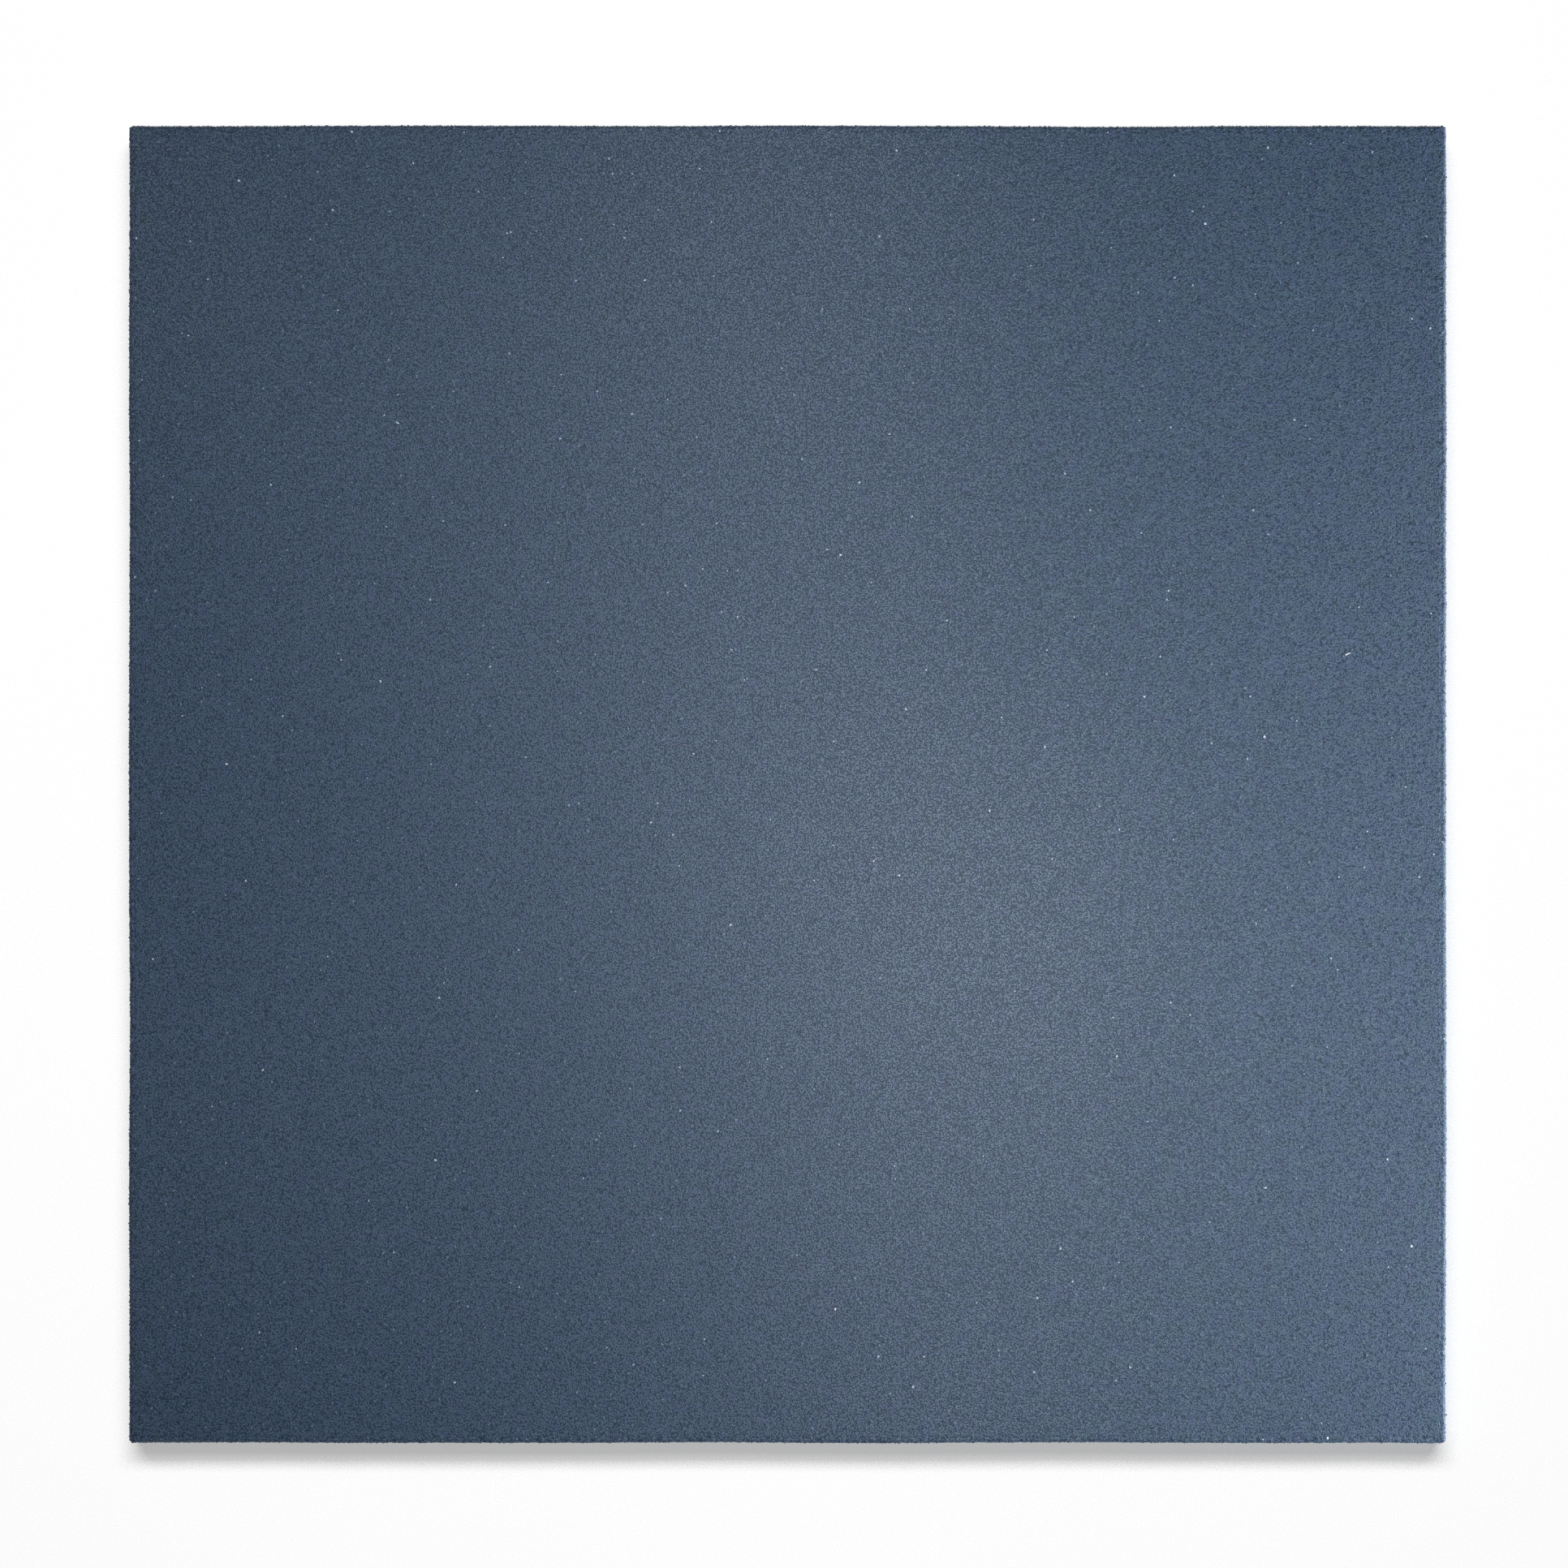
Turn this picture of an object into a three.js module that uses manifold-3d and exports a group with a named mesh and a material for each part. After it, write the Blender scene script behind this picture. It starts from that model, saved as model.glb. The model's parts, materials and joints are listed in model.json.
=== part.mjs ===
// Square rubber gym floor tile: one slab, compression-moulded from fine rubber crumb and binder.
// Millimetres. The origin is the centre of the underside, and +Z points up out of the wear face.

import * as THREE from 'three';
import { mergeVertices } from 'three/addons/utils/BufferGeometryUtils.js';
import Module from 'manifold-3d';

const sideLength = 1000;
const thickness = 15;
const cornerRadius = 3.5; // of the square's corners, seen from above
const wearEdgeRadius = 3; // rounding between the wear face and the four edge faces
const undersideEdgeRadius = 1; // the smaller rounding left by the bottom of the mould
const lowerBandHeight = thickness / 2; // the lower band carries the underside's rounding

const cornerDivisions = 3; // a quarter circle gets twice as many straight pieces
const roundingSegments = 6;

const tileColour = 0x4d5b6e;
const tileRoughness = 0.85;

const wasm = await Module();
wasm.setup();

// A square with rounded corners, centred on the origin.
function roundedSquare(side, radius) {
  const half = side / 2;
  const inner = half - radius;
  const quarter = Math.PI / 2;
  const outline = new THREE.Shape();
  outline.moveTo(inner, -half);
  outline.absarc(inner, -inner, radius, -quarter, 0, false);
  outline.absarc(inner, inner, radius, 0, quarter, false);
  outline.absarc(-inner, inner, radius, quarter, 2 * quarter, false);
  outline.absarc(-inner, -inner, radius, 2 * quarter, 3 * quarter, false);
  outline.closePath();
  return outline;
}

// A slab standing on Z = 0, with the same rounding along its upper and lower edges.
function roundedSlab(height, edgeRadius) {
  const slab = new THREE.ExtrudeGeometry(roundedSquare(sideLength, cornerRadius), {
    depth: height - 2 * edgeRadius,
    curveSegments: cornerDivisions,
    bevelEnabled: true,
    bevelThickness: edgeRadius,
    bevelSize: edgeRadius,
    bevelOffset: -edgeRadius,
    bevelSegments: roundingSegments,
  });
  slab.translate(0, 0, edgeRadius);
  return slab;
}

function toSolid(geometry) {
  geometry.deleteAttribute('normal');
  geometry.deleteAttribute('uv');
  const merged = mergeVertices(geometry);
  return new wasm.Manifold(new wasm.Mesh({
    numProp: 3,
    vertProperties: merged.attributes.position.array,
    triVerts: Uint32Array.from(merged.index.array),
  }));
}

function toGeometry(solid) {
  const mesh = solid.getMesh();
  const geometry = new THREE.BufferGeometry();
  geometry.setAttribute('position', new THREE.BufferAttribute(mesh.vertProperties, 3));
  geometry.setIndex(new THREE.BufferAttribute(mesh.triVerts, 1));
  geometry.computeVertexNormals();
  return geometry;
}

// The full slab gives the large upper rounding. The lower band covers its lower edge,
// so that the small rounding is the one that shows at the underside.
function rubberTile() {
  const fullSlab = toSolid(roundedSlab(thickness, wearEdgeRadius));
  const lowerBand = toSolid(roundedSlab(lowerBandHeight, undersideEdgeRadius));
  const rubber = new THREE.MeshStandardMaterial({
    color: tileColour,
    roughness: tileRoughness,
    metalness: 0,
  });
  const tile = new THREE.Mesh(toGeometry(fullSlab.add(lowerBand)), rubber);
  tile.name = 'rubber_tile';
  return tile;
}

const part = new THREE.Group();
part.add(rubberTile());

export default part;
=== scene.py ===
import json
import math

import bmesh
import bpy
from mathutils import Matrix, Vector

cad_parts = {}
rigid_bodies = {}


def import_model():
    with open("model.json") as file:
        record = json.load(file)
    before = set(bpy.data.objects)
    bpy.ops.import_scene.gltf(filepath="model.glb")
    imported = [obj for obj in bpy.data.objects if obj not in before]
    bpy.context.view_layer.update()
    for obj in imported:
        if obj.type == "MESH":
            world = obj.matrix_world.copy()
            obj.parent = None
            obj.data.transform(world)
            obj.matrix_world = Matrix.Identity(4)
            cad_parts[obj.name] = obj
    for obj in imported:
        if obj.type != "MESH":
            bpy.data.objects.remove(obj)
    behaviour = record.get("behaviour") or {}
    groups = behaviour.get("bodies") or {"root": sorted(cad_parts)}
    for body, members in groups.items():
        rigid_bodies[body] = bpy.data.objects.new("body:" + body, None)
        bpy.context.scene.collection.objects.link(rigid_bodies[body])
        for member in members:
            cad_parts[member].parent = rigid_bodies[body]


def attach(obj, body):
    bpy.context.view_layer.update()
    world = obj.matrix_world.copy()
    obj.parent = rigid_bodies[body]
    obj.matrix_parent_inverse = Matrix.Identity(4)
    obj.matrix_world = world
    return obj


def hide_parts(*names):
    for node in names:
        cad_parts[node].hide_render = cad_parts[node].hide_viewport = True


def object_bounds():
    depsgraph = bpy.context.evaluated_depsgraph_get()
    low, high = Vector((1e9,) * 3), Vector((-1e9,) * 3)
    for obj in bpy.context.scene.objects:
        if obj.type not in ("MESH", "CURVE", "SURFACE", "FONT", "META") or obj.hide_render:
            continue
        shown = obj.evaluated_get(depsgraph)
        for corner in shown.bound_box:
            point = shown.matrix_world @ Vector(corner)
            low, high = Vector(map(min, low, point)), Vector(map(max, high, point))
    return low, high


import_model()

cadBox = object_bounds()  # the CAD model's box, before anything is added
cadLow, cadHigh = cadBox
mm = 0.001
tiny = 0.01 * mm
print("frame loaded, tile box in mm:", [round(v / mm, 1) for v in cadHigh - cadLow])


# Modelling helpers

def deselectAll():
    if bpy.context.object and bpy.context.object.mode != "OBJECT":
        bpy.ops.object.mode_set(mode="OBJECT")
    bpy.ops.object.select_all(action="DESELECT")


def selectOnly(*objects):
    deselectAll()
    for item in objects:
        item.select_set(True)
    bpy.context.view_layer.objects.active = objects[0]


def pick(kind, test):
    # in edit mode, selects the faces, edges or verts that pass a test of place or normal
    bpy.ops.mesh.select_mode(type={"verts": "VERT", "edges": "EDGE", "faces": "FACE"}[kind])
    bpy.ops.mesh.select_all(action="DESELECT")
    mesh = bpy.context.edit_object.data
    edit = bmesh.from_edit_mesh(mesh)
    for item in getattr(edit, kind):
        if test(item):
            item.select_set(True)
    bmesh.update_edit_mesh(mesh)


def tallerThan(height):
    return lambda edge: abs(edge.verts[0].co.z - edge.verts[1].co.z) > height


def edgeAt(height):
    return lambda edge: all(abs(v.co.z - height) < tiny for v in edge.verts)


def openEdgeAt(height):
    return lambda edge: edge.is_boundary and all(abs(v.co.z - height) < tiny for v in edge.verts)


def longerThan(length):
    return lambda edge: edge.calc_length() > length


def applyModifiers(item):
    selectOnly(item)
    for modifier in list(item.modifiers):
        bpy.ops.object.modifier_apply(modifier=modifier.name)


def applyPlace(item):
    selectOnly(item)
    bpy.ops.object.transform_apply(location=True, rotation=True, scale=True)


# Material helpers

def hexColour(code):
    # sRGB hex to the linear colour that the sockets take
    parts = [int(code[i:i + 2], 16) / 255 for i in (1, 3, 5)]
    return [p / 12.92 if p <= 0.04045 else ((p + 0.055) / 1.055) ** 2.4 for p in parts] + [1.0]


def addNode(tree, kind, settings=None, values=None, links=None):
    # one node with its settings, its socket values and what feeds it
    node = tree.nodes.new(kind)
    for name, value in (settings or {}).items():
        setattr(node, name, value)
    for socket, value in (values or {}).items():
        node.inputs[socket].default_value = value
    for socket, source in (links or {}).items():
        tree.links.new(source, node.inputs[socket])
    return node


def newMaterial(name):
    # a material and its tree, still without nodes
    material = bpy.data.materials.new(name)
    material.use_nodes = True
    material.node_tree.nodes.clear()
    return material, material.node_tree


# Bonded rubber crumb: black tyre crumb in a blue-grey tinted polyurethane binder, pressed in a flat
# mould. To the eye it is a matt, dark grain. Crumb tops lie at slightly different angles, so each one
# takes the light differently; the gaps between them and the pits of low crumbs are painted darker, as
# painted shade.
rubberLook = {
    "crumbSize": 1.25,         # mm across one crumb
    "crumbDark": "#1F3248",
    "crumbLight": "#43576E",
    "gapPaintedShade": "#1C2F43",          # painted shade: the colour of the gaps between crumbs and of the pits
    "topEnds": 0.4,            # in crumbs from a crumb's centre
    "gapStarts": 0.75,         # the same: the gap's bottom starts here
    "wobbleSize": 1.6,         # in crumbs, what pushes them out of shape
    "wobbleDepth": 0.9,        # in crumbs, up to half of this each way
    "pitShare": 0.06,          # crumbs that lie so low that they leave a pit, which takes the gaps' painted shade
    "pitFade": 0.1,            # and those that lie a little low
    "fleck": "#8E9BAE",        # a crumb whose skin is worn pale
    "fleckShare": 0.0004,
    "tealTint": "#284B58",
    "navyTint": "#323F6A",
    "tintShare": 0.3,
    "tintPatch": 14.0,         # mm across a patch of one tint
    "tintRange": (0.35, 0.65),  # of the patches' noise, all teal below it and all navy above it
    "roughTop": 0.43,
    "roughGap": 0.5,
    "topShine": 0.5,
    "gapShine": 0.35,          # the gaps shade themselves, so they shine less
    "ior": 1.52,               # rubber and polyurethane
    "relief": 0.16,            # mm from crumb top to gap
    "tilt": 0.13,              # slope of the crumb tops, up to half of this each way
}


def bondedCrumb(look):
    material, tree = newMaterial("pressed_rubber_crumb")
    place = addNode(tree, "ShaderNodeTexCoord").outputs["Object"]

    # crumbs are cut chips, so their cells are pushed out of shape by less than half a crumb
    crumb = look["crumbSize"] * mm
    wobble = addNode(tree, "ShaderNodeTexNoise", {"noise_dimensions": "3D"},
                     {"Scale": 1 / (look["wobbleSize"] * crumb), "Detail": 0.0}, {"Vector": place})
    push = addNode(tree, "ShaderNodeVectorMath", {"operation": "MULTIPLY_ADD"},
                   {1: (look["wobbleDepth"] * crumb,) * 3},
                   {0: wobble.outputs["Color"], 2: place}).outputs[0]
    cells = addNode(tree, "ShaderNodeTexVoronoi", {"feature": "F1"},
                    {"Scale": 1 / crumb}, {"Vector": push})
    perCrumb = addNode(tree, "ShaderNodeSeparateColor", None, None, {"Color": cells.outputs["Color"]})

    # dome is 1 on a crumb's top and 0 in the gap round it; some crumbs sit low and leave a pit
    dome = addNode(tree, "ShaderNodeMapRange", {"interpolation_type": "SMOOTHSTEP"},
                   {"From Min": look["gapStarts"], "From Max": look["topEnds"]},
                   {"Value": cells.outputs["Distance"]}).outputs[0]
    low = addNode(tree, "ShaderNodeMapRange", {"interpolation_type": "SMOOTHSTEP"},
                  {"From Min": look["pitShare"], "From Max": look["pitShare"] + look["pitFade"]},
                  {"Value": perCrumb.outputs["Blue"]}).outputs[0]
    top = addNode(tree, "ShaderNodeMath", {"operation": "MULTIPLY"}, None, {0: dome, 1: low}).outputs[0]

    # each crumb's top leans its own way: the slope is the crumb's random colour, less its mean
    inCrumb = addNode(tree, "ShaderNodeVectorMath", {"operation": "SUBTRACT"}, None,
                      {0: push, 1: cells.outputs["Position"]}).outputs[0]
    lean = addNode(tree, "ShaderNodeVectorMath", {"operation": "SUBTRACT"}, {1: (0.5, 0.5, 0.5)},
                   {0: cells.outputs["Color"]}).outputs[0]
    slope = addNode(tree, "ShaderNodeVectorMath", {"operation": "DOT_PRODUCT"}, None,
                    {0: inCrumb, 1: lean}).outputs["Value"]
    leaning = addNode(tree, "ShaderNodeMath", {"operation": "MULTIPLY"}, {1: look["tilt"]},
                      {0: slope}).outputs[0]
    height = addNode(tree, "ShaderNodeMath", {"operation": "MULTIPLY_ADD"}, {1: look["relief"] * mm},
                     {0: top, 2: leaning}).outputs[0]

    # colour: between two crumb tones, with faint teal and navy patches, rare pale flecks, and painted
    # shade in the gaps and pits
    tone = addNode(tree, "ShaderNodeMix", {"data_type": "RGBA"},
                   {"A": hexColour(look["crumbDark"]), "B": hexColour(look["crumbLight"])},
                   {"Factor": perCrumb.outputs["Red"]})
    patches = addNode(tree, "ShaderNodeTexNoise", {"noise_dimensions": "3D"},
                      {"Scale": 1 / (look["tintPatch"] * mm), "Detail": 2.0}, {"Vector": place})
    lowest, highest = look["tintRange"]
    patch = addNode(tree, "ShaderNodeMapRange", None, {"From Min": lowest, "From Max": highest},
                    {"Value": patches.outputs["Fac"]})
    tint = addNode(tree, "ShaderNodeMix", {"data_type": "RGBA"},
                   {"A": hexColour(look["tealTint"]), "B": hexColour(look["navyTint"])},
                   {"Factor": patch.outputs[0]})
    tinted = addNode(tree, "ShaderNodeMix", {"data_type": "RGBA"}, {"Factor": look["tintShare"]},
                     {"A": tone.outputs["Result"], "B": tint.outputs["Result"]})
    worn = addNode(tree, "ShaderNodeMath", {"operation": "GREATER_THAN"}, {1: 1 - look["fleckShare"]},
                   {0: perCrumb.outputs["Green"]})
    flecked = addNode(tree, "ShaderNodeMix", {"data_type": "RGBA"}, {"B": hexColour(look["fleck"])},
                      {"Factor": worn.outputs[0], "A": tinted.outputs["Result"]})
    # the gaps and pits get the painted shade colour
    colour = addNode(tree, "ShaderNodeMix", {"data_type": "RGBA"}, {"A": hexColour(look["gapPaintedShade"])},
                     {"Factor": top, "B": flecked.outputs["Result"]})
    rough = addNode(tree, "ShaderNodeMapRange", None,
                    {"To Min": look["roughGap"], "To Max": look["roughTop"]}, {"Value": top})
    shine = addNode(tree, "ShaderNodeMapRange", None,
                    {"To Min": look["gapShine"], "To Max": look["topShine"]}, {"Value": top})

    # the height is in metres already, so the bump's own distance is 1
    bump = addNode(tree, "ShaderNodeBump", None, {"Strength": 1.0, "Distance": 1.0}, {"Height": height})
    shader = addNode(tree, "ShaderNodeBsdfPrincipled", None, {"IOR": look["ior"]},
                     {"Base Color": colour.outputs["Result"], "Roughness": rough.outputs[0],
                      "Specular IOR Level": shine.outputs[0], "Normal": bump.outputs["Normal"]})
    addNode(tree, "ShaderNodeOutputMaterial", None, None, {"Surface": shader.outputs[0]})
    return material


rubber = bondedCrumb(rubberLook)
print("rubber material made")


# The slab: sides and roundings are fine enough to hold the crumb, the two faces are coarser
slab = {
    "cornerRadius": 3.5,       # mm, seen from above
    "wearEdge": 3.0,           # mm, rounding round the wear face
    "undersideEdge": 1.0,      # mm
    "edgeSegments": 5,         # in a corner and in the wear face's rounding
    "undersideSegments": 2,
    "sidePieces": 27,          # each side is cut into this many pieces, twice over: 1.37 mm
    "wallPieces": 7,
    "rimRows": 2,              # flat rows inside the wear face's rounding; the underside has one
    "rimStep": 1.5,            # mm across one row
    "faceGap": 4.0,            # mm between the rim and the face's own grid
    "wearCells": 188,
    "undersideCells": 48,
    "sortFrom": ((0.9, -0.7, 0.5), (-0.8, -1.3, 0.4)),  # m, at unlike distances from every face
}


def slabBelt(name):
    # walls and roundings: a cube with its corners and rims bevelled, then opened at top and bottom
    deselectAll()
    size = cadHigh - cadLow
    bpy.ops.mesh.primitive_cube_add(size=1, location=(cadLow + cadHigh) / 2, scale=size)
    belt = bpy.context.object
    belt.name = belt.data.name = name
    applyPlace(belt)
    bpy.ops.object.mode_set(mode="EDIT")
    pick("edges", tallerThan(tiny))
    bpy.ops.mesh.bevel(offset=slab["cornerRadius"] * mm, segments=slab["edgeSegments"], affect="EDGES")
    pick("edges", edgeAt(cadHigh.z))
    bpy.ops.mesh.bevel(offset=slab["wearEdge"] * mm, segments=slab["edgeSegments"], affect="EDGES")
    pick("edges", edgeAt(cadLow.z))
    bpy.ops.mesh.bevel(offset=slab["undersideEdge"] * mm, segments=slab["undersideSegments"],
                       affect="EDGES")
    pick("faces", lambda f: len(f.verts) > 4)  # the top and the bottom
    bpy.ops.mesh.delete(type="ONLY_FACE")

    # the roundings take a part of each side and wall, so the straight edges are known by a shorter length
    straightSide, straightWall = 0.9 * size.x, 0.6 * size.z
    for part in (1, slab["sidePieces"]):
        pick("edges", longerThan(straightSide / part))
        bpy.ops.mesh.subdivide(number_cuts=slab["sidePieces"] - 1)
    pick("edges", tallerThan(straightWall))
    bpy.ops.mesh.subdivide(number_cuts=slab["wallPieces"] - 1)
    return belt


def flatRim(height, reach, rows):
    # continues the open edge at a height inwards, in rows of the same fine pitch
    for row in range(rows):
        pick("edges", openEdgeAt(height))
        bpy.ops.mesh.extrude_region_move()
        inner = reach - (row + 1) * slab["rimStep"] * mm
        outer = reach - row * slab["rimStep"] * mm
        bpy.ops.transform.resize(value=(inner / outer, inner / outer, 1),
                                 center_override=(0, 0, height))


def faceGrid(height, halfSide, cells):
    deselectAll()
    bpy.ops.mesh.primitive_grid_add(x_subdivisions=cells, y_subdivisions=cells,
                                    size=2 * halfSide, location=(0, 0, height))
    grid = bpy.context.object
    applyPlace(grid)
    return grid


def mouldedSlab():
    belt = slabBelt("moulded_slab")
    half = cadHigh.x
    wearReach = half - slab["wearEdge"] * mm
    underReach = half - slab["undersideEdge"] * mm
    flatRim(cadHigh.z, wearReach, slab["rimRows"])
    flatRim(cadLow.z, underReach, 1)

    # bevel numbers its faces anew each run, and the chips' places hang on those numbers
    bpy.ops.mesh.select_all(action="SELECT")
    for start in slab["sortFrom"]:
        bpy.context.scene.cursor.location = start
        bpy.ops.mesh.sort_elements(type="CURSOR_DISTANCE", elements={"VERT", "EDGE", "FACE"})
    deselectAll()
    inset = slab["faceGap"] * mm
    wearRim = slab["rimRows"] * slab["rimStep"] * mm
    wear = faceGrid(cadHigh.z, wearReach - wearRim - inset, slab["wearCells"])
    under = faceGrid(cadLow.z, underReach - slab["rimStep"] * mm - inset, slab["undersideCells"])
    selectOnly(belt, wear, under)
    bpy.ops.object.join()
    bpy.ops.object.mode_set(mode="EDIT")
    for height in (cadHigh.z, cadLow.z):
        # closes the ring between the rim and the face's grid
        pick("edges", openEdgeAt(height))
        bpy.ops.mesh.fill(use_beauty=True)
    bpy.ops.mesh.select_all(action="SELECT")
    bpy.ops.mesh.remove_doubles(threshold=tiny)
    bpy.ops.mesh.normals_make_consistent(inside=False)
    deselectAll()
    return belt


# Relief: the walls and roundings are lumpy and torn at the size of a crumb, the faces only wave a little
relief = {
    "lumpSize": 4.0,           # mm, lumps along the edges
    "lumpDepth": 0.7,          # mm, over the noise's whole range; about half of it is reached
    "crumbSize": 1.4,          # mm, and so on down to flatRim
    "crumbDepth": 0.3,
    "waveSize": 60.0,
    "waveDepth": 0.25,
    "driftSize": 160.0,        # the sides aren't quite straight
    "driftDepth": 1.6,
    "flatRim": 1.5,            # flat face next to the rounding that is torn too
}


def noiseDisplace(item, name, size, depth, group, direction="NORMAL", basis="BLENDER_ORIGINAL"):
    texture = bpy.data.textures.new(name, "CLOUDS")
    texture.noise_scale = size * mm
    texture.noise_depth = 1
    texture.noise_basis = basis
    modifier = item.modifiers.new(name, "DISPLACE")
    modifier.texture = texture
    modifier.texture_coords = "LOCAL"
    modifier.direction = direction
    modifier.strength = depth * mm
    modifier.mid_level = 0.5
    modifier.vertex_group = group


def addGroup(item, name, kind, test):
    selectOnly(item)
    bpy.ops.object.vertex_group_add()
    item.vertex_groups.active.name = name
    bpy.ops.object.mode_set(mode="EDIT")
    pick(kind, test)
    bpy.ops.object.vertex_group_assign()
    deselectAll()


def roughen(item):
    tornFrom = cadHigh.x - (slab["wearEdge"] + relief["flatRim"]) * mm - tiny
    addGroup(item, "edges", "verts",
             lambda v: max(abs(v.co.x), abs(v.co.y)) > tornFrom and v.co.z > slab["undersideEdge"] * mm)
    addGroup(item, "wear_side", "verts", lambda v: v.co.z > cadHigh.z / 2)
    noiseDisplace(item, "lumps", relief["lumpSize"], relief["lumpDepth"], "edges")
    noiseDisplace(item, "crumbs", relief["crumbSize"], relief["crumbDepth"], "edges",
                  basis="VORONOI_F2_F1")
    noiseDisplace(item, "waves", relief["waveSize"], relief["waveDepth"], "wear_side", "Z")
    for direction in ("X", "Y"):
        noiseDisplace(item, "drift", relief["driftSize"], relief["driftDepth"], "edges", direction)
    applyModifiers(item)
    item.vertex_groups.clear()


def finishPiece(item, material):
    item.data.materials.clear()
    item.data.materials.append(material)
    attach(item, "root")
    print(item.name, "made:", len(item.data.polygons), "faces")


tile = mouldedSlab()
roughen(tile)
finishPiece(tile, rubber)
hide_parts("rubber_tile")


# Loose-looking crumbs: cut chips that stand a little out of the slab, each in one tone
chipLook = {
    "kinds": 4,
    "size": (1.5, 1.25, 0.9),  # mm
    "unevenness": 0.28,        # mm that each corner moves
    "proud": 0.3,              # mm of the chip above the surface
    "cutAt": 0.5,              # mm from the surface's level at the chip's middle to the cut
    "cutRise": 0.8,            # how far the cut looks up, for 1 outwards
    "palePart": 0.99,          # the palest hundredth is worn skin
}


def chipMaterial(look):
    material, tree = newMaterial("cut_rubber_chip")
    tone = addNode(tree, "ShaderNodeAttribute", {"attribute_name": "crumbTone"}).outputs["Fac"]
    colour = addNode(tree, "ShaderNodeMix", {"data_type": "RGBA"},
                     {"A": hexColour(rubberLook["crumbDark"]), "B": hexColour(rubberLook["crumbLight"])},
                     {"Factor": tone})
    pale = addNode(tree, "ShaderNodeMath", {"operation": "GREATER_THAN"},
                   {1: look["palePart"]}, {0: tone})
    worn = addNode(tree, "ShaderNodeMix", {"data_type": "RGBA"}, {"B": hexColour(rubberLook["fleck"])},
                   {"Factor": pale.outputs[0], "A": colour.outputs["Result"]})
    shader = addNode(tree, "ShaderNodeBsdfPrincipled", None,
                     {"IOR": rubberLook["ior"], "Roughness": rubberLook["roughTop"]},
                     {"Base Color": worn.outputs["Result"]})
    addNode(tree, "ShaderNodeOutputMaterial", None, None, {"Surface": shader.outputs[0]})
    return material


def cutChip(kind, look):
    # a box with uneven corners and one corner cut off, sunk so that only its top stands proud
    deselectAll()
    size = [v * mm for v in look["size"]]
    middle = look["proud"] * mm - size[2] / 2
    bpy.ops.mesh.primitive_cube_add(size=1, location=(0, 0, middle), scale=size)
    chip = bpy.context.object
    chip.name = chip.data.name = f"chip_{kind}"
    applyPlace(chip)
    bpy.ops.object.mode_set(mode="EDIT")
    bpy.ops.mesh.select_all(action="SELECT")
    bpy.ops.transform.vertex_random(offset=look["unevenness"] * mm, seed=kind)
    bpy.ops.mesh.select_all(action="SELECT")
    turn = 2 * math.pi * kind / look["kinds"]
    outward = Vector((math.cos(turn), math.sin(turn), look["cutRise"]))
    bpy.ops.mesh.bisect(plane_co=outward.normalized() * look["cutAt"] * mm, plane_no=outward,
                        use_fill=True, clear_outer=True)
    deselectAll()
    return chip


def scatterChips(item, chips, look):
    # Geometry Nodes: chips on the item's faces, turned and sized at random, then made real
    tree = bpy.data.node_groups.new(item.name, "GeometryNodeTree")
    tree.interface.new_socket("Geometry", in_out="INPUT", socket_type="NodeSocketGeometry")
    tree.interface.new_socket("Geometry", in_out="OUTPUT", socket_type="NodeSocketGeometry")
    surface = addNode(tree, "NodeGroupInput").outputs[0]
    seed, smallest, largest, lean = look["seed"], *look["scale"], math.radians(look["lean"])
    points = addNode(tree, "GeometryNodeDistributePointsOnFaces", {"distribute_method": "POISSON"},
                     {"Distance Min": look["apart"] * mm, "Density Max": look["perSquareMetre"],
                      "Seed": seed}, {"Mesh": surface})

    # Random Value has sockets 0 and 1 for vectors, 2 and 3 for floats, 4 and 5 for whole numbers
    kind = addNode(tree, "FunctionNodeRandomValue", {"data_type": "INT"},
                   {4: 0, 5: chipLook["kinds"] - 1, "Seed": seed + 1}).outputs[2]
    scale = addNode(tree, "FunctionNodeRandomValue", {"data_type": "FLOAT"},
                    {2: smallest, 3: largest, "Seed": seed + 2}).outputs[1]
    turn = addNode(tree, "FunctionNodeRandomValue", {"data_type": "FLOAT_VECTOR"},
                   {0: (-lean, -lean, -math.pi), 1: (lean, lean, math.pi), "Seed": seed + 3}).outputs[0]
    tone = addNode(tree, "FunctionNodeRandomValue", {"data_type": "FLOAT"},
                   {2: 0.0, 3: 1.0, "Seed": seed + 4}).outputs[1]

    kinds = addNode(tree, "GeometryNodeCollectionInfo", None,
                    {"Collection": chips, "Separate Children": True, "Reset Children": True})
    placed = addNode(tree, "GeometryNodeInstanceOnPoints", None, {"Pick Instance": True},
                     {"Points": points.outputs["Points"], "Instance": kinds.outputs[0],
                      "Instance Index": kind, "Rotation": points.outputs["Rotation"], "Scale": scale})
    turned = addNode(tree, "GeometryNodeRotateInstances", None, None,
                     {"Instances": placed.outputs[0], "Rotation": turn})
    toned = addNode(tree, "GeometryNodeStoreNamedAttribute",
                    {"data_type": "FLOAT", "domain": "INSTANCE"}, {"Name": "crumbTone"},
                    {"Geometry": turned.outputs[0], "Value": tone})
    real = addNode(tree, "GeometryNodeRealizeInstances", None, None, {"Geometry": toned.outputs[0]})
    addNode(tree, "NodeGroupOutput", None, None, {0: real.outputs[0]})
    modifier = item.modifiers.new("chips", "NODES")
    modifier.node_group = tree
    applyModifiers(item)


def crumbs(name, chips, look, test):
    # the chips' ground is a copy of the slab's faces that pass the test
    selectOnly(tile)
    bpy.ops.object.duplicate()
    item = bpy.context.object
    item.name = item.data.name = name
    bpy.ops.object.mode_set(mode="EDIT")
    pick("faces", lambda f: not test(f))
    bpy.ops.mesh.delete(type="FACE")
    deselectAll()
    scatterChips(item, chips, look)
    finishPiece(item, rubberChip)
    return item


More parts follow.
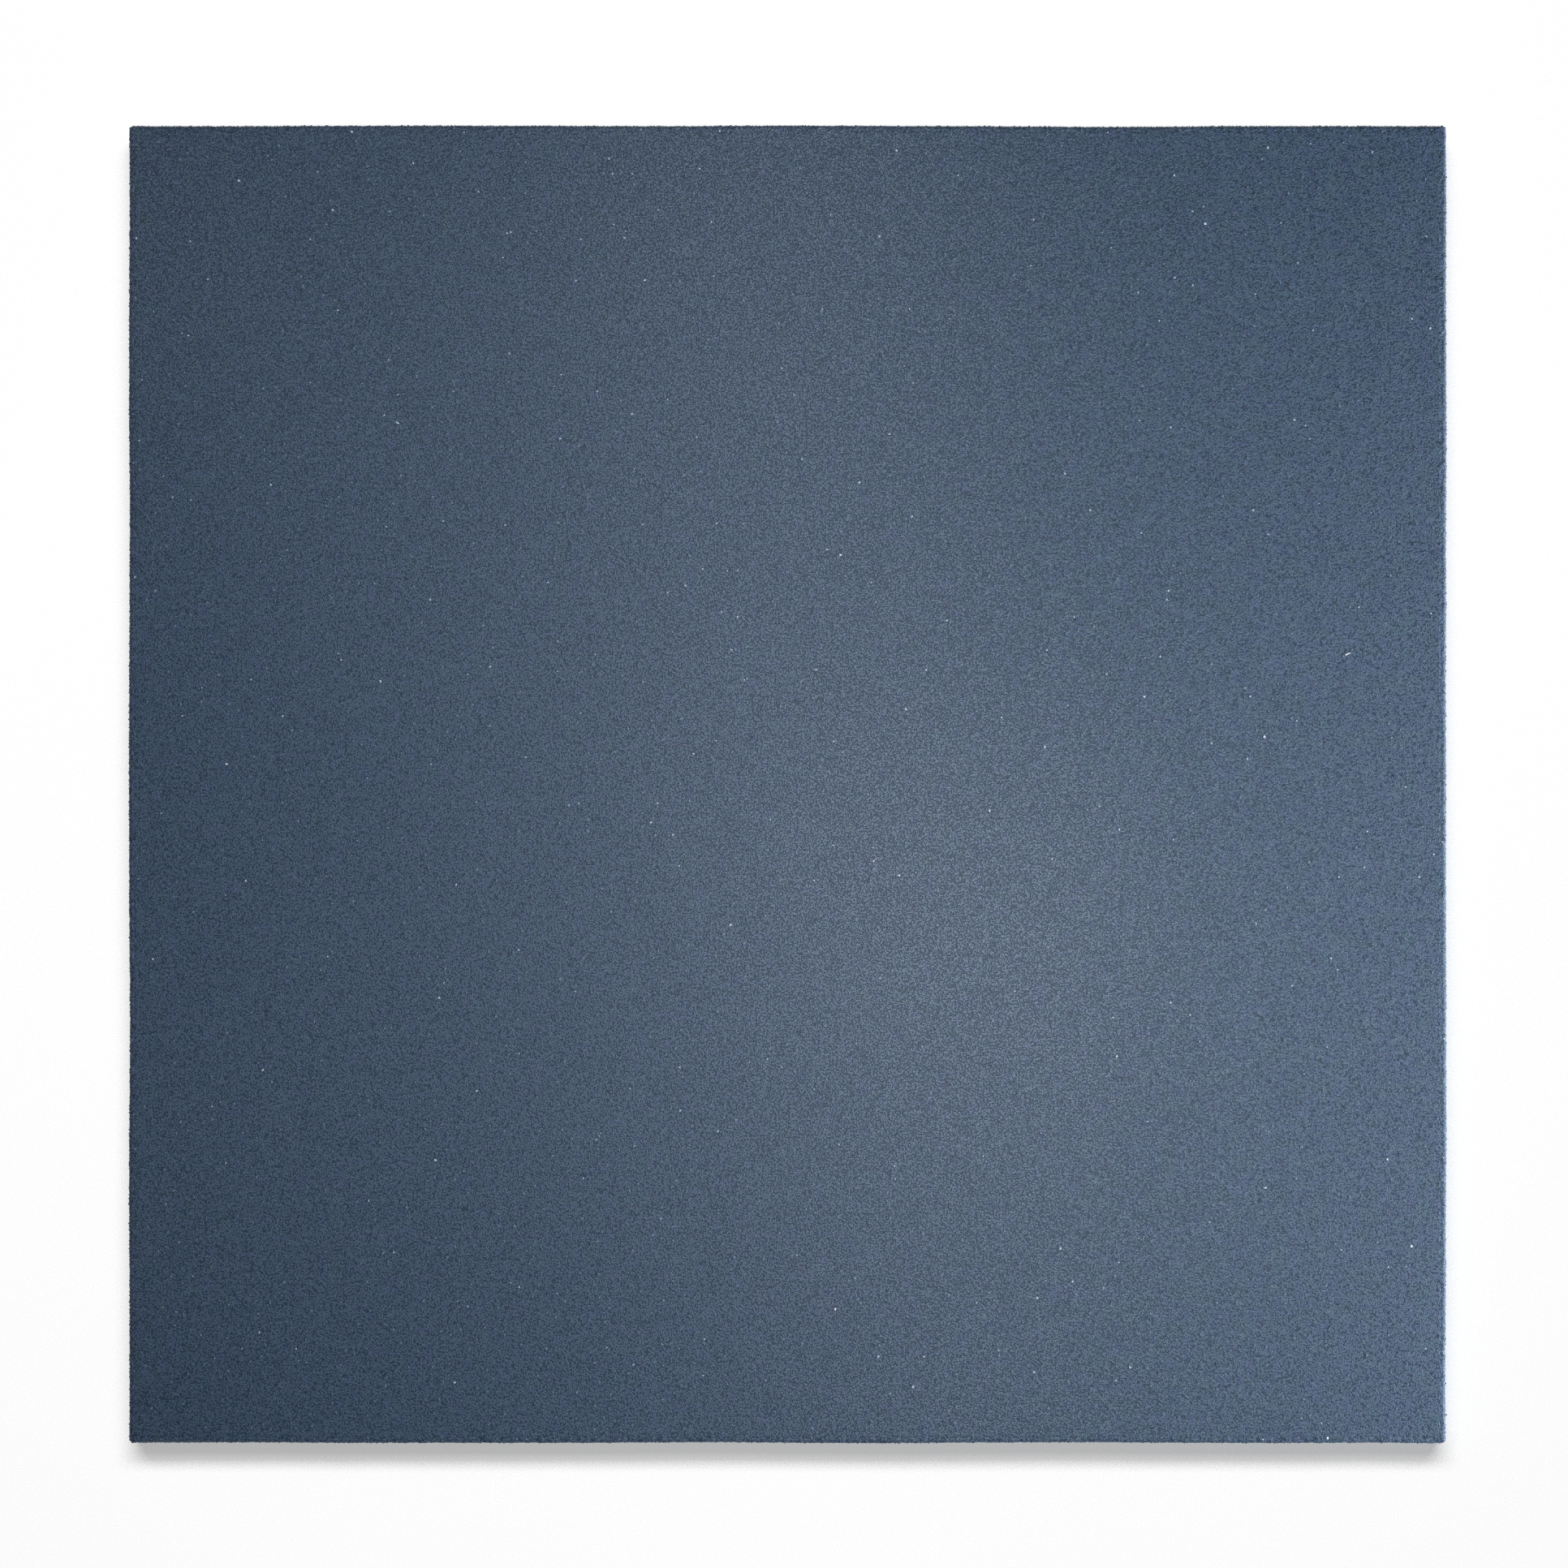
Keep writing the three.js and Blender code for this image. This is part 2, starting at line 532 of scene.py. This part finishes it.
rubberChip = chipMaterial(chipLook)
chips = bpy.data.collections.new("chips")
for kind in range(chipLook["kinds"]):
    chips.objects.link(cutChip(kind, chipLook))

edgeScatter = {
    "apart": 1.7,              # mm at least from chip to chip
    "perSquareMetre": 400000,  # at most
    "scale": (0.6, 1.15),
    "lean": 22,                # degrees
    "seed": 5,
    "overGround": 1.8,         # in chip lengths, kept free above the ground
    "overWall": 0.8,           # part of the rounding that is kept free, because it is smoother
}
faceScatter = {"apart": 6.5, "perSquareMetre": 40000, "scale": (0.6, 1.2), "lean": 9, "seed": 15}
faceEdge = cadHigh.x - slab["wearEdge"] * mm
wallLow = edgeScatter["overGround"] * chipLook["size"][0] * mm
wallHigh = cadHigh.z - edgeScatter["overWall"] * slab["wearEdge"] * mm


def atEdge(face):
    centre = face.calc_center_median()
    return max(abs(centre.x), abs(centre.y)) > faceEdge


def onWalls(face):
    return atEdge(face) and wallLow < face.calc_center_median().z < wallHigh


def onWearFace(face):
    looksUp = face.normal.z > 0.5
    return looksUp and not atEdge(face)


edgeCrumbs = crumbs("edge_crumbs", chips, edgeScatter, onWalls)
faceCrumbs = crumbs("face_crumbs", chips, faceScatter, onWearFace)
for chip in list(chips.objects):
    bpy.data.objects.remove(chip)  # the patterns aren't part of the tile


# One crumb sticks out of the right side, near the bottom corner of the picture
juttingCrumb = {
    "place": (500.3, -479.0, 9.5),  # mm
    "size": (1.7, 1.6, 2.4),
    "proud": 1.0,
    "kind": 5,                 # sets its uneven corners
}


def sideCrumb(look):
    crumb = cutChip(look["kind"], {**chipLook, **look})
    crumb.name = crumb.data.name = "jutting_crumb"
    crumb.rotation_euler = (0, math.radians(90), 0)
    crumb.location = [v * mm for v in look["place"]]
    applyPlace(crumb)
    finishPiece(crumb, rubberChip)
    return crumb


jutting = sideCrumb(juttingCrumb)


# A sliver of white tyre cord lies pressed into the wear face: a thin strip with pointed ends and a
# slight bow. To the eye it is the one white mark on the tile, matt and faintly streaked along its fibres.
sliverLook = {
    "place": (424.0, 98.3),    # mm
    "length": 7.0,
    "width": 0.8,
    "thickness": 0.5,
    "proud": 0.2,              # mm above the wear face
    "bow": 0.35,
    "taper": 0.8,              # part of the width that is gone at the ends
    "softEdge": 0.08,          # mm
    "turn": 24.0,              # degrees
    "pieces": 6,
    "pale": "#C6CFDD",
    "streak": "#98A2B2",
    "streakSize": 0.25,        # mm across
    "streakLength": 8.0,       # for 1 across
    "streakDepth": 0.05,       # mm, at half strength
    "rough": 0.7,
    "ior": 1.53,               # polyamide
}


def cordMaterial(look):
    material, tree = newMaterial("white_tyre_cord")
    place = addNode(tree, "ShaderNodeTexCoord").outputs["Object"]
    turned = addNode(tree, "ShaderNodeMapping", {"vector_type": "TEXTURE"},
                     {"Rotation": (0, 0, math.radians(look["turn"])),
                      "Scale": (look["streakLength"], 1, 1)}, {"Vector": place})
    fibres = addNode(tree, "ShaderNodeTexNoise", {"noise_dimensions": "3D"},
                     {"Scale": 1 / (look["streakSize"] * mm), "Detail": 1.0},
                     {"Vector": turned.outputs[0]})
    streaks = addNode(tree, "ShaderNodeMix", {"data_type": "RGBA"},
                      {"A": hexColour(look["streak"]), "B": hexColour(look["pale"])},
                      {"Factor": fibres.outputs["Fac"]})
    bump = addNode(tree, "ShaderNodeBump", None,
                   {"Strength": 0.5, "Distance": look["streakDepth"] * mm},
                   {"Height": fibres.outputs["Fac"]})
    shader = addNode(tree, "ShaderNodeBsdfPrincipled", None,
                     {"IOR": look["ior"], "Roughness": look["rough"]},
                     {"Base Color": streaks.outputs["Result"], "Normal": bump.outputs["Normal"]})
    addNode(tree, "ShaderNodeOutputMaterial", None, None, {"Surface": shader.outputs[0]})
    return material


def cordSliver(look):
    deselectAll()
    length, width, thickness = [look[key] * mm for key in ("length", "width", "thickness")]
    middle = look["proud"] * mm - thickness / 2
    bpy.ops.mesh.primitive_cube_add(size=1, location=(0, 0, middle), scale=(length, width, thickness))
    sliver = bpy.context.object
    sliver.name = sliver.data.name = "cord_sliver"
    applyPlace(sliver)
    bpy.ops.object.mode_set(mode="EDIT")
    pick("edges", longerThan(length / 2))
    bpy.ops.mesh.subdivide(number_cuts=look["pieces"] - 1)
    for cut in range(look["pieces"] + 1):
        along = 2 * cut / look["pieces"] - 1  # -1 and 1 at the two ends
        pick("verts", lambda v: abs(v.co.x - along * length / 2) < tiny)
        narrow = 1 - look["taper"] * along ** 2
        bpy.ops.transform.resize(value=(1, narrow, 1), center_override=(0, 0, 0))
        bpy.ops.transform.translate(value=(0, look["bow"] * (1 - along ** 2) * mm, 0))
    # the two long edges on top
    pick("edges", lambda e: all(v.co.z > 0 for v in e.verts)
         and abs(e.verts[0].co.x - e.verts[1].co.x) > tiny)
    bpy.ops.mesh.bevel(offset=look["softEdge"] * mm, segments=1, affect="EDGES")
    deselectAll()
    sliver.rotation_euler = (0, 0, math.radians(look["turn"]))
    sliver.location = [v * mm for v in look["place"]] + [cadHigh.z]
    applyPlace(sliver)
    finishPiece(sliver, cordMaterial(look))
    return sliver


sliver = cordSliver(sliverLook)


# Camera, floor, world and lights
cameraSetup = {
    "lens": 50.0,              # mm
    "sensor": 36.0,            # mm
    "pictureSide": 1932,       # px
    "pixelsPerMetre": 1625.0,  # measured across the tile
    "tileCentre": (970.5, 966.5),  # px
    "clip": (0.05, 100.0),     # m
}


def plainCamera(setup):
    data = bpy.data.cameras.new("camera")
    data.lens = setup["lens"]
    data.sensor_width = setup["sensor"]
    camera = bpy.data.objects.new("camera", data)
    bpy.context.scene.collection.objects.link(camera)
    seen = setup["pictureSide"] / setup["pixelsPerMetre"]  # metres of the wear face across the picture
    distance = seen * setup["lens"] / setup["sensor"]
    middle = setup["pictureSide"] / 2
    across, down = setup["tileCentre"]
    camera.location = ((middle - across) / setup["pixelsPerMetre"],
                       (down - middle) / setup["pixelsPerMetre"], cadHigh.z + distance)
    data.clip_start, data.clip_end = setup["clip"]
    bpy.context.scene.camera = camera


plainCamera(cameraSetup)

studio = {
    "floorSide": 40.0,         # m, past all that the camera sees
    "floorWhite": 0.85,
    "floorRough": 0.9,
    "worldLight": 0.1,         # white, from all sides
}


def plainFloor(look):
    deselectAll()
    bpy.ops.mesh.primitive_plane_add(size=look["floorSide"], location=(0, 0, cadLow.z))
    floor = bpy.context.object
    floor.name = "floor"
    material = bpy.data.materials.new("white_floor")
    material.use_nodes = True
    shader = material.node_tree.nodes["Principled BSDF"]
    shader.inputs["Base Color"].default_value = (look["floorWhite"],) * 3 + (1,)
    shader.inputs["Roughness"].default_value = look["floorRough"]
    floor.data.materials.append(material)
    return floor


floor = plainFloor(studio)

world = bpy.data.worlds.new("studio")
world.use_nodes = True
background = world.node_tree.nodes["Background"]
background.inputs["Color"].default_value = (1, 1, 1, 1)
background.inputs["Strength"].default_value = studio["worldLight"]
bpy.context.scene.world = world

# A row of strip softboxes hangs over the tile, from the far left to the near right, and gives the broad
# sheen across it, and two cooler ones light its dark left side. On the right a low light brightens the
# walls and the slopes of the crumb. The rounding doesn't mirror that one, because it would glitter, but
# mirrors the wider light above it, as the bright line. The floor has its own lights, so that its white
# and its soft shadow can be set without changing the rubber.
stripColour = (1.0, 0.99, 0.97)  # lights take linear colours
leftColour = (0.9, 0.96, 1.0)
lightRig = {
    "strip_farthest": {"place": (-0.1, 0.85, 0.9), "size": (0.3, 0.4), "power": 1.0, "lights": "tile",
                       "colour": stripColour},
    "strip_far": {"place": (0.02, 0.4, 0.9), "size": (0.3, 0.75), "power": 3.3, "lights": "tile",
                  "colour": stripColour},
    "strip_middle": {"place": (0.2, -0.15, 0.9), "size": (0.3, 0.4), "power": 4.6, "lights": "tile",
                     "colour": stripColour},
    "strip_near": {"place": (0.2, -0.65, 0.9), "size": (0.3, 0.5), "power": 2.5, "lights": "tile",
                   "colour": stripColour},
    "strip_right": {"place": (0.6, -0.5, 0.9), "size": (0.3, 0.6), "power": 0.6, "lights": "tile",
                    "colour": stripColour},
    "right_low": {"place": (1.2, -0.2, 0.11), "size": (1.8, 0.08), "power": 58.0, "lights": "tile",
                  "colour": (1.0, 0.88, 0.77), "glossy": False},
    "right_soft": {"place": (1.3, -0.2, 0.28), "size": (1.8, 0.35), "power": 18.0, "lights": "tile",
                   "colour": (1.0, 0.97, 0.94)},
    "left_far": {"place": (-0.75, 0.6, 0.9), "size": (0.3, 0.8), "power": 1.7, "lights": "tile",
                 "colour": leftColour},
    "left_near": {"place": (-0.75, -0.4, 0.9), "size": (0.3, 0.8), "power": 0.8, "lights": "tile",
                  "colour": leftColour},
    "floor_back": {"place": (0.0, 12.0, 10.1), "size": (18.4, 5.8), "power": 1190.0, "lights": "floor"},
    "floor_back_low": {"place": (0.0, 12.0, 8.0), "size": (18.4, 2.9), "power": 1880.0,
                       "lights": "floor"},
    "floor_fill": {"place": (0.0, -0.5, 3.5), "size": (0.8, 0.8), "power": 56.5, "lights": "floor"},
}


def areaLight(name, look, receivers):
    data = bpy.data.lights.new(name, "AREA")
    data.shape = "RECTANGLE"
    data.size, data.size_y = look["size"]
    data.energy = look["power"]
    data.color = look.get("colour", (1, 1, 1))
    lamp = bpy.data.objects.new(name, data)
    bpy.context.scene.collection.objects.link(lamp)
    lamp.location = look["place"]
    lamp.rotation_euler = (-Vector(look["place"])).to_track_quat("-Z", "Y").to_euler()
    lamp.visible_camera = False
    lamp.visible_glossy = look.get("glossy", True)
    lamp.light_linking.receiver_collection = receivers


lit = {"tile": bpy.data.collections.new("tile_lit"), "floor": bpy.data.collections.new("floor_lit")}
for piece in (tile, edgeCrumbs, faceCrumbs, jutting, sliver):
    lit["tile"].objects.link(piece)
lit["floor"].objects.link(floor)
for name, look in lightRig.items():
    areaLight(name, look, lit[look["lights"]])

bpy.context.scene.view_settings.view_transform = "Standard"
bpy.context.scene.cycles.use_denoising = False  # it would smooth the crumb away
print("floor, camera and lights made")
